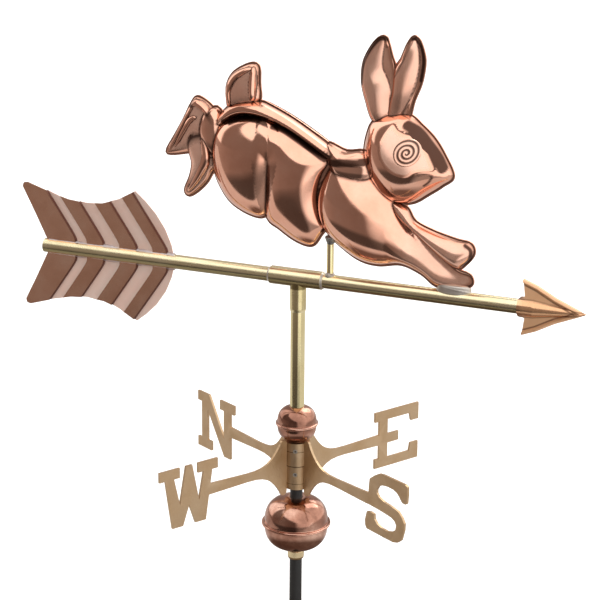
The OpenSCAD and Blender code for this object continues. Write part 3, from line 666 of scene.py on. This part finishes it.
def eye_patch():
    """The spiral eye, a raised coil on the cheek."""
    cx, cz, radius, pitch, boss = 104.5, 125.8, 10.8, 3.4, 1.6
    nr, na = 60, 120
    r = np.linspace(0.001, radius, nr)
    a = np.linspace(0, 2 * math.pi, na, endpoint=False)
    rr, aa = np.meshgrid(r, a, indexing="ij")
    p = np.stack([cx + rr * np.cos(aa), cz + rr * np.sin(aa)], 2).reshape(-1, 2)
    base = cheek.height(p).reshape(nr, na)
    coil = 0.5 + 0.5 * np.cos(2 * math.pi * (rr / pitch) - aa)
    lift = 0.25 + 1.0 * coil ** 0.8
    lift = np.where(rr < boss, 1.2 - 0.25 * (rr / boss) ** 2, lift)
    fade = np.clip((radius - rr) / 0.7, 0, 1)
    h = base + lift * fade - 0.4 * (1 - fade)
    v = np.column_stack([p, h.reshape(-1)])
    f = []
    for i in range(nr - 1):
        for k in range(na):
            k2 = (k + 1) % na
            f.append((i * na + k, i * na + k2, (i + 1) * na + k2, (i + 1) * na + k))
    f.append(tuple(range(na - 1, -1, -1)))
    # Painted shade in the grooves between the coil's turns
    painted_shade_mask = (1 - coil).reshape(-1) * 0.9
    return v, f, painted_shade_mask


# How fast the painted shade in creases fades with the height above a neighbour, and how far a covered face
# lies under it
CREASE_REACH = 1.8
COVERED = -0.7


def highest(p, lobes):
    """The height of the outermost of these lobes."""
    h = np.full(len(p), OUTSIDE)
    for lobe in lobes:
        h = np.maximum(h, lobe.at(p))
    return h


def painted_shade_of(lobe, v, gap):
    """Painted shade (0 to 1): darker in the creases between lobes, along edges and on the shade lines."""
    p = v[:, :2]
    c = np.exp(-(np.maximum(gap, 0) / CREASE_REACH))
    to_edge = line_distance(p, np.vstack([lobe.edge, lobe.edge[:1]]))[0]
    if lobe.partner is not None:
        others = highest(p, [o for o in LOBES if o not in (lobe, lobe.partner)])
        clear = np.exp(-(np.maximum(v[:, 2] - others, 0) / CREASE_REACH))
        c = np.maximum(clear, c * (1 - np.clip((blend_width(p) - 0.5) / 6, 0, 1)))
    # Painted shade along the lobe's shade lines
    for line, width in lobe.shade:
        d = line_distance(p, spline(line, 6, closed=False))[0]
        c = np.maximum(c, 0.92 * np.clip((width + 0.7 - d) / 1.4, 0, 1))
    if lobe.over is not None:
        return np.maximum(c, np.exp(-to_edge / 0.7)), to_edge
    return np.maximum(c, 0.8 * np.exp(-to_edge / 1.0) * (v[:, 2] > 0.6)), to_edge


def rabbit_half(name, side, node):
    """All the lobes of one side as one mesh, without the faces that others cover."""
    verts, faces, painted_shade_mask, satin_and_painted_sheen = [], [], [], []
    count = 0
    for lobe in LOBES:
        v, f = lobe.mesh()
        p = v[:, :2]
        gap = v[:, 2] - highest(p, [o for o in LOBES if o is not lobe and o is not lobe.over])
        hidden = gap < COVERED
        keep = [face for face in f if not all(hidden[i] for i in face)]
        c, to_edge = painted_shade_of(lobe, v, gap)
        # How matt each place is, and how much paler as a painted sheen, away from the lobe's edge
        pale = lobe.satin_and_painted_sheen(p) if callable(lobe.satin_and_painted_sheen) else lobe.satin_and_painted_sheen
        satin_and_painted_sheen.append(pale * np.clip((to_edge - 2.2) / 1.5, 0, 1))
        verts.append(v)
        painted_shade_mask.append(c)
        faces += [tuple(i + count for i in face) for face in keep]
        count += len(v)
    v, f, c = eye_patch()
    verts.append(v)
    painted_shade_mask.append(c)
    satin_and_painted_sheen.append(np.full(len(v), 0.35))
    faces += [tuple(i + count for i in face) for face in f]
    v = np.vstack(verts)
    c = np.concatenate(painted_shade_mask)
    satin_and_painted_sheen = np.concatenate(satin_and_painted_sheen)
    used = np.zeros(len(v), bool)
    for face in faces:
        used[list(face)] = True
    index = np.cumsum(used) - 1
    v, c, satin_and_painted_sheen = v[used], c[used], satin_and_painted_sheen[used]
    faces = [tuple(index[i] for i in face) for face in faces]
    xyz = np.column_stack([v[:, 0], side * v[:, 2], v[:, 1] + ARROW_Z])
    if side > 0:
        faces = [face[::-1] for face in faces]
    add_mesh(name, xyz, faces, copper, "vane", (node,), 40, {"painted_shade_mask": c, "satin_and_painted_sheen": satin_and_painted_sheen})


rabbit_half("rabbit_right_skin", -1, "rabbit_right_shell")
rabbit_half("rabbit_left_skin", 1, "rabbit_left_shell")


# ------------------------------------------------------------------ arrowhead

# The arrowhead's border from the socket's mouth: (along, away from the axis)
BARB = [(3, 24.5), (16, 19.5), (32, 10.8), (58, 0)]


def head_place(p):
    """Places from the socket's mouth and its axis, the core's radius there, and how far the border is."""
    x, z = p[:, 0] - HEAD_X, np.abs(p[:, 1])
    radius = np.interp(x, [-1, 13, 53, 60], [7.75, 7.5, 1.5, 0.7])
    return x, z, radius, line_distance(np.column_stack([x, z]), np.array(BARB, float))[0]


def head_height(p, h, u, lobe):
    """A round socket that tapers into a ridge, hollow facets beside it, and a rolled border."""
    x, z, r, d = head_place(p)
    core = np.sqrt(np.clip(r ** 2 - z ** 2, 0, None))
    border = 2.7 * np.exp(-((d - 1.9) / 1.5) ** 2) + 0.9 * np.exp(-(d / 1.2) ** 2)
    facet = 0.75 + 0.24 * np.clip(d - 3.6, 0, 12)
    fade = np.clip((57.5 - x) / 6, 0.35, 1)
    sheet = np.maximum(border, facet) * fade
    return np.logaddexp(2.2 * sheet, 2.2 * core) / 2.2 * (core > 0) + sheet * (core <= 0)


def arrowhead_half(name, side, node):
    half = [(0, 7.7), (6, 8.3)] + BARB
    line = [(HEAD_X + x, z) for x, z in half] + [(HEAD_X + x, -z) for x, z in half[-2::-1]]
    line = rounded(line, 1.0, 3)
    lobe = Lobe(name, line, [(HEAD_X + 10, 0, 1), (HEAD_X + 30, 0, 1)], base=0.6, step=0.9, plain=True,
                grid=0.6, brim=0, relief=head_height)
    v, f = lobe.mesh()
    x, z, r, d = head_place(v[:, :2])
    # Painted shade: a dark line 4.3 mm inside the border, at the foot of the rolled border, and another where
    # the socket meets the facets
    c = np.maximum(0.85 * np.exp(-((d - 4.3) / 0.8) ** 2), 0.7 * np.exp(-((z - r) / 0.7) ** 2))
    xyz = np.column_stack([v[:, 0], side * v[:, 2], v[:, 1] + ARROW_Z])
    if side > 0:
        f = [face[::-1] for face in f]
    pale = 0.75 * np.clip((x - 2) / 3, 0, 1) * np.clip((z - r * 0.7) / 2, 0.25, 1)
    add_mesh(name, xyz, f, copper_head, "vane", (node,), 40, {"painted_shade_mask": c, "satin_and_painted_sheen": pale})


arrowhead_half("arrowhead_right_skin", -1, "arrowhead_right_shell")
arrowhead_half("arrowhead_left_skin", 1, "arrowhead_left_shell")


# ------------------------------------------------------------------ fletching

FEATHER = [(-241, 0), (-244, 6), (-256, 30), (-268, 53), (-267, 56.5), (-263, 57.2), (-238, 49.5),
    (-222, 45.5), (-205, 44), (-188, 45.5), (-172, 51), (-156, 60), (-146, 52), (-136, 42), (-127, 29),
    (-121, 15), (-118, 0)]
# The panels' sheer edges and the ends of their slopes along the tube, the lean of a panel for each
# millimetre away from the tube, and the sheet's thickness
STEPS = (-215.5, -187.5, -154.7, -125.0)
TOPS = (-204.4, -171.8, -139.0, -104.0)
LEAN = 0.70
PLATE_T = 0.9


def chevron(x, z):
    """How far along the row of panels a place is: the panels lean back from the tube to the tips."""
    a = np.clip(np.abs(z) - 8.0, 0, None)
    return x + LEAN * (np.sqrt(a ** 2 + 9) - 3)


def sheet_height(u):
    """Flat panels, each with a sheer front edge and a slope that climbs to the next one."""
    at, level = [-400], [1.0]
    for step, top in zip(STEPS, TOPS):
        at += [step - 0.3, step + 0.3, top - 0.2, top + 0.2]
        level += [1.0, -1.0, 0.95, 1.0]
    return np.interp(u, at, level)


def fletching():
    """The embossed sheet: its panels' edges are kept as edges of the mesh."""
    rim = evenly(np.array(FEATHER + [(x, -z) for x, z in FEATHER[-2:0:-1]], float), 1.6)
    pts, edges = [tuple(c) for c in rim], []
    lines = [s + d for s in STEPS for d in (-1.2, -0.3, 0.3, 1.2)]
    lines += [t + d for t in TOPS[:-1] for d in (-0.2, 0.2, 1.2)]
    for u0 in lines:
        for sign in (-1, 1):
            z = np.concatenate([[0], np.arange(6, 66, 1.5)]) * sign
            x = u0 - chevron(np.zeros(len(z)), z)
            start = len(pts)
            pts += list(zip(x, z))
            edges += [(start + k, start + k + 1) for k in range(len(z) - 1)]
    out = geometry.delaunay_2d_cdt([Vector(c) for c in pts], edges, [list(range(len(rim)))], 1, 1e-4)
    flat = np.array([tuple(c) for c in out[0]])
    n = len(flat)
    u = chevron(flat[:, 0], flat[:, 1])
    h = sheet_height(u)
    # Painted shade on the panels' sheer edges, and fainter where the slopes end
    near = np.min([np.abs(u - s) for s in STEPS], axis=0)
    top = np.min([np.abs(u - t) for t in TOPS[:-1]], axis=0)
    c = np.maximum(np.exp(-(near / 0.8) ** 2), 0.35 * np.exp(-(top / 0.5) ** 2))
    # The slopes get the matt finish, paler as a painted highlight on them
    slope = np.zeros(n)
    for step, t in zip(STEPS, TOPS):
        slope = np.maximum(slope, ((u > step + 0.2) & (u < t)).astype(float))
    tris = facing(flat, out[2])
    sides = dict.fromkeys((a, b) for f in tris for a, b in zip(f, f[1:] + f[:1]))
    border = [(a, b) for a, b in sides if (b, a) not in sides]
    verts = np.vstack([np.column_stack([flat[:, 0], -(h + t / 2), flat[:, 1] + ARROW_Z])
                       for t in (PLATE_T, -PLATE_T)])
    faces = tris + [(f[2] + n, f[1] + n, f[0] + n) for f in tris] + [(b, a, a + n, b + n) for a, b in border]
    add_mesh("fletching_sheet", verts, faces, copper_sheet, "vane", ("fletching_plate",), 4,
             {"painted_shade_mask": np.concatenate([c, c]), "satin_and_painted_sheen": np.concatenate([slope, slope])})


fletching()


# ------------------------------------------------------------------ globes

def globe_half(globe, half, d, h, brim, z0):
    """A spun half globe: full shoulders, a soft bend, and a rolled flange at the seam."""
    node = globe + "_" + half
    a, c, w, f, bore = d / 2, h / 2, 0.8, 0.75, ROD_R + 0.3
    end = math.acos((bore / a) ** (1 / f))
    t = np.linspace(0, 1, 40) * end
    outer = np.column_stack([a * np.cos(t) ** f, c * np.sin(t) ** f])
    outer = outer[outer[:, 1] > 1.5]
    inner = np.column_stack([(a - w) * np.cos(t) ** f, (c - w) * np.sin(t) ** f])[::-1]
    inner = inner[(inner[:, 0] > bore) & (inner[:, 1] > 0.3)]
    R = a + brim
    edge = [(a - w, 0.02), (R - 0.5, 0.02), (R - 0.1, 0.2), (R, 0.55), (R - 0.2, 0.95), (R - 0.6, 1.1),
            (a + 0.6, 1.05), (a + 0.3, 1.15), (a + 0.06, 1.4)]
    prof = np.vstack([edge, outer, [(bore, outer[-1, 1]), (bore, outer[-1, 1] - w)], inner])
    prof[:, 1] *= 1 if half == "upper" else -1
    lathe(node + "_skin", prof, z0, spun_copper_with_painted_reflections, "mast", (node,))


for half in ("upper", "lower"):
    globe_half("large_globe", half, 56.6, 49, 2.4, 156.3)
for half in ("upper", "lower"):
    globe_half("small_globe", half, 34.8, 32, 1.3, 250.7)


# ------------------------------------------------------------------ solder

def wobble(a, seed, n=5):
    """A smooth repeatable unevenness round a circle, within about 1."""
    r = np.random.default_rng(seed)
    k = np.arange(1, n + 1)
    return (r.normal(size=n) / k ** 0.7 * np.sin(np.outer(a, k) + r.uniform(0, 6.28, n))).sum(1) / 1.6


def blob(name, rings, place, seed, lump, node, mat=solder_grey, n=56):
    """A lump of solder: a stack of uneven ovals. rings: (height, half width x, half width y)."""
    a = np.linspace(0, 2 * math.pi, n, endpoint=False)
    rings = spline(rings, 5, closed=False)
    rows = []
    shape = wobble(a, seed)
    for k, (z, rx, ry) in enumerate(rings):
        w = 1 + lump * (shape + 0.5 * wobble(a + 0.21 * k, seed + 1, 7))
        rows.append(np.column_stack([rx * w * np.cos(a), ry * w * np.sin(a), np.full(n, z)]))
    m = len(rows)
    v = np.vstack(rows) + np.array(place)
    i = np.arange(n)
    j = (i + 1) % n
    faces = []
    for k in range(m - 1):
        quads = np.column_stack([k * n + i, k * n + j, (k + 1) * n + j, (k + 1) * n + i])
        faces += [tuple(f) for f in quads]
    faces += [tuple(i[::-1]), tuple((m - 1) * n + i)]
    add_mesh(name, v, faces, mat, "vane", (node,), 50)


def seam_bead(name, sign, node):
    """Solder run along the fletching where it enters the tube: uneven, in places almost nothing."""
    x = np.arange(-242.5, -117, 0.8)
    r = np.random.default_rng(7 if sign > 0 else 8)
    phase = r.uniform(0, 6.28, 6)
    waves = (9, 5.2, 3.1, 1.9, 1.3, 0.8)
    lump = sum(np.sin(x / w + phase[k]) / (1 + k * 0.4) for k, w in enumerate(waves)) / 2.5
    top = 7.6 + 0.55 * lump
    half = 2.3 + 0.45 * np.roll(lump, 5)
    foot = np.sqrt(TUBE_R ** 2 - half ** 2) - 0.12
    rows = []
    shoulder = foot * 0.55 + top * 0.45
    for y, z in ((-half, foot), (-half * 0.6, shoulder), (-half * 0.22, top), (half * 0.22, top),
                 (half * 0.6, shoulder), (half, foot), (np.zeros(len(x)), np.full(len(x), 5.6))):
        rows.append(np.column_stack([x, y, ARROW_Z + sign * z]))
    n, m = len(x), len(rows)
    v = np.vstack(rows)
    faces = []
    for k in range(m):
        k2 = (k + 1) % m
        for i in range(n - 1):
            f = (k * n + i, k * n + i + 1, k2 * n + i + 1, k2 * n + i)
            faces.append(f if sign > 0 else f[::-1])
    ends = [tuple(k * n for k in range(m)), tuple(k * n + n - 1 for k in range(m))[::-1]]
    faces += [f if sign > 0 else f[::-1] for f in ends]
    add_mesh(name, v, faces, solder_seam, "vane", (node,), 60)


seam_bead("fletching_solder_top_bead", 1, "fletching_solder_top")
seam_bead("fletching_solder_bottom_bead", -1, "fletching_solder_bottom")
POST_X, PAW_X = 29.5, 141
blob("paw_solder_puddle", [(4.2, 14.0, 5.0), (5.0, 14.9, 5.4), (6.8, 15.0, 5.5), (8.8, 14.6, 5.4),
    (10.6, 13.9, 5.0), (11.8, 12.0, 4.0), (12.1, 4.0, 1.2)], (PAW_X, 0, ARROW_Z), 3, 0.06, "paw_solder")
blob("post_lower_solder_bead", [(4.6, 4.4, 4.2), (5.6, 4.7, 4.6), (6.8, 4.2, 4.2), (8.0, 3.2, 3.2),
    (9.2, 2.6, 2.6), (9.5, 2.2, 2.2)], (POST_X, 0, ARROW_Z), 11, 0.06, "post_lower_solder")
blob("post_upper_solder_bead", [(33.2, 2.3, 2.3), (34.0, 3.0, 3.0), (36.0, 3.8, 3.6), (38.4, 4.7, 4.4),
    (40.2, 5.0, 4.6), (40.9, 3.5, 3.2)], (POST_X, 0, ARROW_Z), 12, 0.07, "post_upper_solder", mat=solder_dark)


# ------------------------------------------------------------------ CAD pieces that keep their shape

FINISHES = [
    (black, ["mounting_rod"]),
    (brass_turned, ["set_collar"]),
    (steel_dull, ["collar_set_screw", "ew_set_screw", "ns_set_screw"]),
    (steel_bright, ["bearing_ball", "pivot_seat"]),
    (brass_cast, ["compass_bar_ew", "compass_bar_ns"]),
    (brass_upright, ["spindle_tube", "support_post"]),
    (brass, ["tee_fitting", "arrow_tube_tail", "arrow_tube_head"]),
    (solder_grey, ["tee_solder_rear", "tee_solder_front"])]
for mat, nodes in FINISHES:
    for node in nodes:
        NODES[node].data.materials.clear()
        NODES[node].data.materials.append(mat)

for node in ("compass_bar_ew", "compass_bar_ns"):
    soft = NODES[node].modifiers.new("worn_edges", "BEVEL")
    soft.width = 0.00035
    soft.segments = 2
    soft.limit_method = "ANGLE"
    soft.angle_limit = math.radians(40)


# ------------------------------------------------------------------ floor, lights and camera

def compass(m, vector):
    """The compass direction of a vector as 0 to 1 (0.5 is straight ahead, -Y), and its parts."""
    part = m.parts(vector)
    turn = m.math("ARCTAN2", part["X"], m.math("MULTIPLY", part["Y"], -1.0))
    return m.span(turn, -math.pi, math.pi, 0, 1), part


def warm_grey(value):
    """A grey of this brightness that gets warmer below 0.8."""
    warm = 1 - min(1, max(0, (value - 0.3) / 0.5))
    return value, value * (0.985 - 0.16 * warm), value * (0.96 - 0.22 * warm)


def degrees_ramp(m, fac, stops):
    return m.ramp(fac, [((d + 180) / 360, warm_grey(v)) for d, v in stops])


# Brightness of the dim gap and of the soft boxes, and how the broad light's edge leans as it rises
DARK = 0.25
LIT = 1.4
LEAN_DEGREES = 130
# Brightness of the walls, low and high, against the compass direction in degrees
LOW_WALLS = [(-180, 0.40), (-110, 0.45), (-70, DARK * 1.3), (-40, DARK), (20, DARK * 0.8), (32, LIT * 0.9),
    (95, LIT), (110, 0.6), (180, 0.4)]
HIGH_WALLS = [(-180, 0.45), (-128, 0.5), (-122, LIT), (-80, LIT), (-74, DARK), (20, DARK * 0.8), (30, LIT),
    (95, LIT), (112, 0.8), (180, 0.6)]


def floor():
    """A pale paper floor. To all but camera rays it glows as painted light: the metal mirrors it as a bright
    sheet with a painted shadow round the rod's foot, painted dim in front.
    """
    me = bpy.data.meshes.new("studio_floor")
    n = 96
    v = [(6 * math.cos(2 * math.pi * k / n), 6 * math.sin(2 * math.pi * k / n), 0) for k in range(n)]
    me.from_pydata(v, [], [tuple(range(n))])
    ob = bpy.data.objects.new("studio_floor", me)
    scene.collection.objects.link(ob)
    m = Surface("floor_paper")
    m.put(m.bsdf.inputs["Base Color"], m.ramp(m.noise(3, 2), [(0.3, 0.84), (0.7, 0.87)]))
    m.bsdf.inputs["Roughness"].default_value = 0.9
    m.bsdf.inputs["Emission Color"].default_value = (1, 1, 1, 1)
    m.bsdf.inputs["Emission Strength"].default_value = 0.35
    glow = m.new("Emission")
    fac, part = compass(m, m.place)
    walls = degrees_ramp(m, fac, LOW_WALLS)
    length = m.new("VectorMath")
    length.operation = "LENGTH"
    m.link(m.place, length.inputs[0])
    # Painted dim floor within 0.8 m of the rod's foot, back to the walls' brightness by 1.15 m
    walls = m.mix(m.span(length.outputs["Value"], 0.80, 1.15, 0.75, 0.0), walls, (0.03, 0.028, 0.026))
    # Behind y = -0.35 m the floor is a bright sheet instead, with a painted shadow within 0.17 to 0.27 m of
    # the rod's foot
    sheet = m.span(part["Y"], -0.36, -0.33, 0, 1)
    lit_with_painted_shadow = m.mix(m.span(length.outputs["Value"], 0.17, 0.27, 0, 1), (0.16, 0.12, 0.10), (0.68, 0.655, 0.63))
    m.put(glow.inputs["Color"], m.mix(sheet, walls, lit_with_painted_shadow))
    pick = m.new("MixShader")
    m.link(m.seen_by_camera(), pick.inputs[0])
    m.link(glow.outputs[0], pick.inputs[1])
    m.link(m.bsdf.outputs[0], pick.inputs[2])
    m.link(pick.outputs[0], m.out.inputs["Surface"])
    me.materials.append(m.mat)


floor()


def studio_world():
    """A soft box to the left, a dim gap, and a broad light that rises from the right to overhead."""
    scene.world = bpy.data.worlds.new("studio")
    w = Nodes(scene.world)
    out = w.new("OutputWorld")
    room = w.new("Background")
    paper = w.new("Background")
    pick = w.new("MixShader")
    fac, part = compass(w, w.new("TexCoord").outputs["Generated"])
    z = part["Z"]
    low = degrees_ramp(w, fac, LOW_WALLS)
    high = degrees_ramp(w, fac, HIGH_WALLS)
    walls = w.mix(w.span(z, 0.05, 0.08, 0, 1), low, high)
    leaning_fac = w.math("MULTIPLY_ADD", z, LEAN_DEGREES / 360, fac)
    walls = w.mix(1.0, walls, degrees_ramp(w, leaning_fac, [(40, 0.0), (47, LIT)]), "LIGHTEN")
    top = w.ramp(z, [(at, warm_grey(v)) for at, v in ((0.0, 0.0), (0.93, 0.0), (0.96, 0.9))])
    walls = w.mix(1.0, walls, top, "LIGHTEN")
    w.link(walls, room.inputs["Color"])
    paper.inputs["Color"].default_value = (0.9, 0.9, 0.9, 1)
    w.link(w.seen_by_camera(), pick.inputs[0])
    w.link(room.outputs[0], pick.inputs[1])
    w.link(paper.outputs[0], pick.inputs[2])
    w.link(pick.outputs[0], out.inputs["Surface"])


studio_world()


def area(name, place, aim, size, power):
    """A square soft light that faces a point."""
    light = bpy.data.lights.new(name, "AREA")
    light.shape = "RECTANGLE"
    light.size = size
    light.size_y = size
    light.energy = power
    ob = bpy.data.objects.new(name, light)
    scene.collection.objects.link(ob)
    ob.location = place
    ob.rotation_euler = (Vector(aim) - Vector(place)).to_track_quat("-Z", "Y").to_euler()


area("back_wash", (0.4, 2.4, 2.4), (0, 1.6, 0.0), 2.2, 30)

# The camera: its compass direction and height, its roll, and its distance from the target
AZ, EL, ROLL = math.radians(22.5), math.radians(17.6), math.radians(-0.5)
DISTANCE = 1.901
target = Vector((0, 0, 0.3638))
back = Vector((math.sin(AZ) * math.cos(EL), -math.cos(AZ) * math.cos(EL), math.sin(EL)))
side = Vector((math.cos(AZ), math.sin(AZ), 0))
up = back.cross(side)
up2 = up * math.cos(ROLL) + side * math.sin(ROLL)
side2 = up2.cross(back)
cam = bpy.data.cameras.new("camera")
cam.sensor_width = 36
cam.lens = 132
cam.shift_x = 0.0033
cam_ob = bpy.data.objects.new("camera", cam)
scene.collection.objects.link(cam_ob)
pose = Matrix((side2, up2, back)).transposed().to_4x4()
pose.translation = target + back * DISTANCE
cam_ob.matrix_world = pose
scene.camera = cam_ob
scene.view_settings.view_transform = "Standard"
